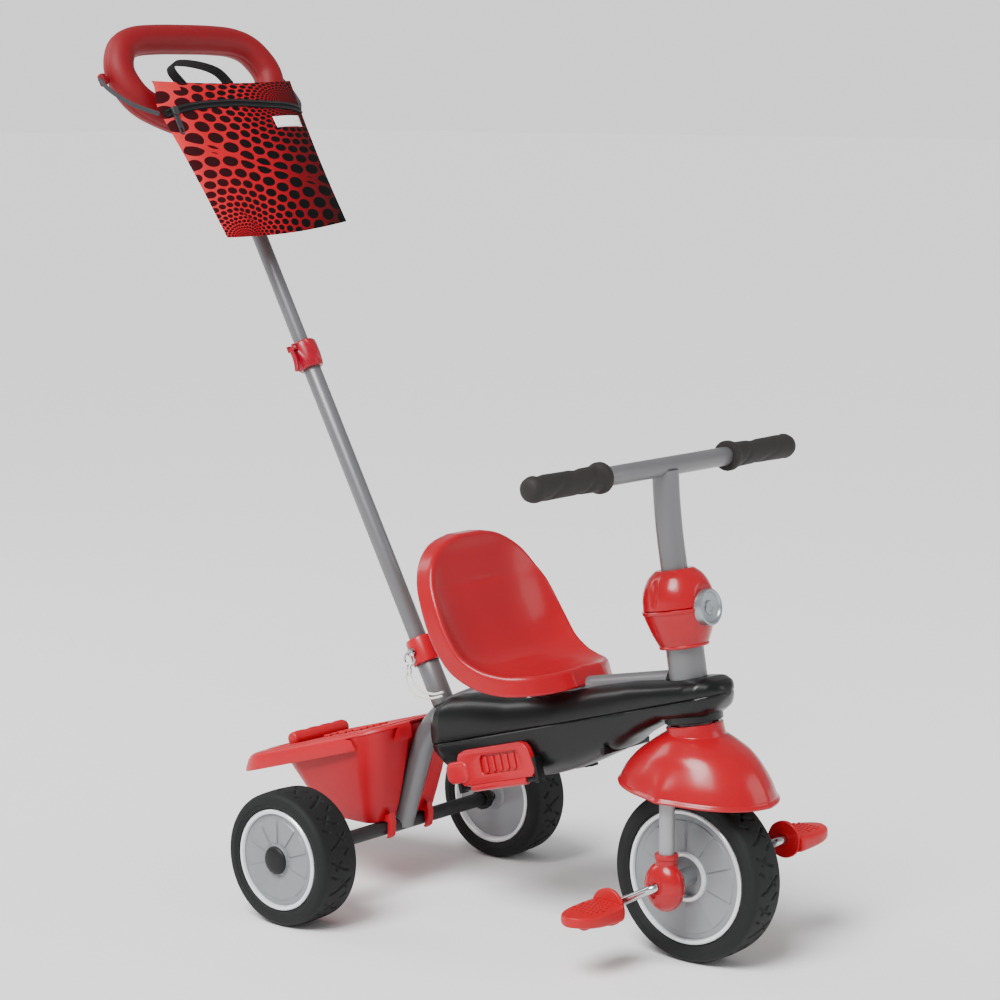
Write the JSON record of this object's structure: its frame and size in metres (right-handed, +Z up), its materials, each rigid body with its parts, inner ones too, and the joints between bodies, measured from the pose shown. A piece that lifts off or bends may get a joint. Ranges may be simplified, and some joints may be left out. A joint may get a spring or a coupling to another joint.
{
  "type": "children's tricycle",
  "caption": "Children's tricycle with a pedalled front wheel, moulded seat, tipping rear bucket and a telescopic rear push pole with a loop handle and a flat zipped bag.",
  "frame": {"origin": "on the floor, midway along the length and width of the whole tricycle", "axes": "+X forward, the way the rider faces; +Y to the rider's left; +Z up"},
  "size_m": [0.9564, 0.494, 1.0789],
  "materials": {
    "red_gloss": "glossy moulded shell",
    "red_soft": "soft-touch coating",
    "red_bucket": "satin moulded",
    "red_latch": "satin moulded",
    "black_plastic": "satin moulded",
    "tyre_rubber": "matt foam rubber",
    "grip_rubber": "matt",
    "grey_plastic": "satin moulded",
    "silver_paint": "satin powder coat",
    "dark_paint": "satin powder coat",
    "steel": "plain",
    "fabric": "printed woven",
    "webbing": "woven",
    "white_cord": "braided"
  },
  "bodies": {
    "frame": {"main_frame": "silver_paint", "head_tube": "silver_paint", "head_bushing_upper": "black_plastic", "head_bushing_lower": "black_plastic", "upper_cover": "black_plastic", "lower_cover": "black_plastic", "seat_shell": "red_gloss", "seat_bracket": "steel", "seat_bolt_right": "steel", "seat_bolt_left": "steel", "rear_axle_tube": "dark_paint", "rear_axle_rod": "steel", "axle_bush_right": "black_plastic", "axle_bush_left": "black_plastic", "hub_cap_right": "black_plastic", "hub_cap_left": "black_plastic", "lower_pole": "silver_paint", "socket_collar": "red_latch", "clamp_collar": "red_latch", "clamp_pin": "steel", "footrest_pin_right": "steel", "footrest_pin_left": "steel", "tether_cord": "white_cord"},
    "steering": {"fork": "silver_paint", "mudguard": "red_gloss", "knob_lower_shell": "red_gloss", "knob_upper_shell": "red_gloss", "knob_badge": "steel", "handlebar": "silver_paint", "grip_right": "grip_rubber", "grip_left": "grip_rubber", "hub_cover_upper_right": "red_gloss", "hub_cover_lower_right": "red_gloss", "hub_cover_upper_left": "red_gloss", "hub_cover_lower_left": "red_gloss"},
    "front_wheel": {"front_tyre": "tyre_rubber", "front_rim_right": "grey_plastic", "front_rim_left": "grey_plastic", "crank_axle": "steel"},
    "right_pedal": {"pedal_right": "red_bucket"},
    "left_pedal": {"pedal_left": "red_bucket"},
    "rear_wheel_right": {"rear_tyre_right": "tyre_rubber", "rear_rim_right": "grey_plastic"},
    "rear_wheel_left": {"rear_tyre_left": "tyre_rubber", "rear_rim_left": "grey_plastic"},
    "bucket": {"bucket_body": "red_bucket"},
    "bucket_cover": {"bucket_lid": "red_bucket"},
    "right_footrest": {"footrest_right": "red_latch"},
    "left_footrest": {"footrest_left": "red_latch"},
    "sliding_pole": {"upper_pole": "silver_paint", "handle_front_shell": "red_soft", "handle_rear_shell": "red_soft", "bag": "fabric", "zip_slider": "steel", "bag_carry_loop": "webbing", "bag_strap_right": "webbing", "bag_strap_left": "webbing"},
    "lever": {"clamp_lever": "red_latch"},
    "locking_pin": {"socket_pin": "steel", "pin_ring": "steel"}
  },
  "joints": [
    {"name": "steer", "type": "hinge", "parent": "frame", "child": "steering", "pos_m": [0.36055, 0, 0.3351], "axis": [-0.1736, 0, 0.9848], "range_deg": [-38, 38]},
    {"name": "front_wheel_spin", "type": "hinge", "parent": "steering", "child": "front_wheel", "pos_m": [0.37665, 0, 0.1015], "axis": [0, 1, 0], "continuous": true},
    {"name": "right_pedal_spin", "type": "hinge", "parent": "front_wheel", "child": "right_pedal", "pos_m": [0.32235, -0.127, 0.07263], "axis": [0, 1, 0], "continuous": true},
    {"name": "left_pedal_spin", "type": "hinge", "parent": "front_wheel", "child": "left_pedal", "pos_m": [0.43095, 0.127, 0.13037], "axis": [0, 1, 0], "continuous": true},
    {"name": "right_wheel_spin", "type": "hinge", "parent": "frame", "child": "rear_wheel_right", "pos_m": [-0.08135, -0.1985, 0.082], "axis": [0, 1, 0], "continuous": true},
    {"name": "left_wheel_spin", "type": "hinge", "parent": "frame", "child": "rear_wheel_left", "pos_m": [-0.08135, 0.1985, 0.082], "axis": [0, 1, 0], "continuous": true},
    {"name": "bucket_tip", "type": "hinge", "parent": "frame", "child": "bucket", "pos_m": [-0.08135, 0, 0.082], "axis": [0, -1, 0], "range_deg": [0, 28]},
    {"name": "lid_hinge", "type": "hinge", "parent": "bucket", "child": "bucket_cover", "pos_m": [-0.05035, 0, 0.202], "axis": [0, 1, 0], "range_deg": [0, 35]},
    {"name": "right_footrest_fold", "type": "hinge", "parent": "frame", "child": "right_footrest", "pos_m": [0.12389, -0.0528, 0.17557], "axis": [0.9632, 0, 0.2689], "range_deg": [0, 90]},
    {"name": "left_footrest_fold", "type": "hinge", "parent": "frame", "child": "left_footrest", "pos_m": [0.12389, 0.0528, 0.17557], "axis": [-0.9632, 0, -0.2689], "range_deg": [0, 90]},
    {"name": "pole_slide", "type": "slide", "parent": "frame", "child": "sliding_pole", "axis": [-0.4816, 0, 0.8764], "range_m": [-0.12, 0.06]},
    {"name": "lever_open", "type": "hinge", "parent": "frame", "child": "lever", "pos_m": [-0.24646, -0.021, 0.67311], "axis": [-0.8764, 0, -0.4816], "range_deg": [0, 100]},
    {"name": "pin_pull", "type": "slide", "parent": "frame", "child": "locking_pin", "axis": [0, -1, 0], "range_m": [0, 0.03]}
  ]
}
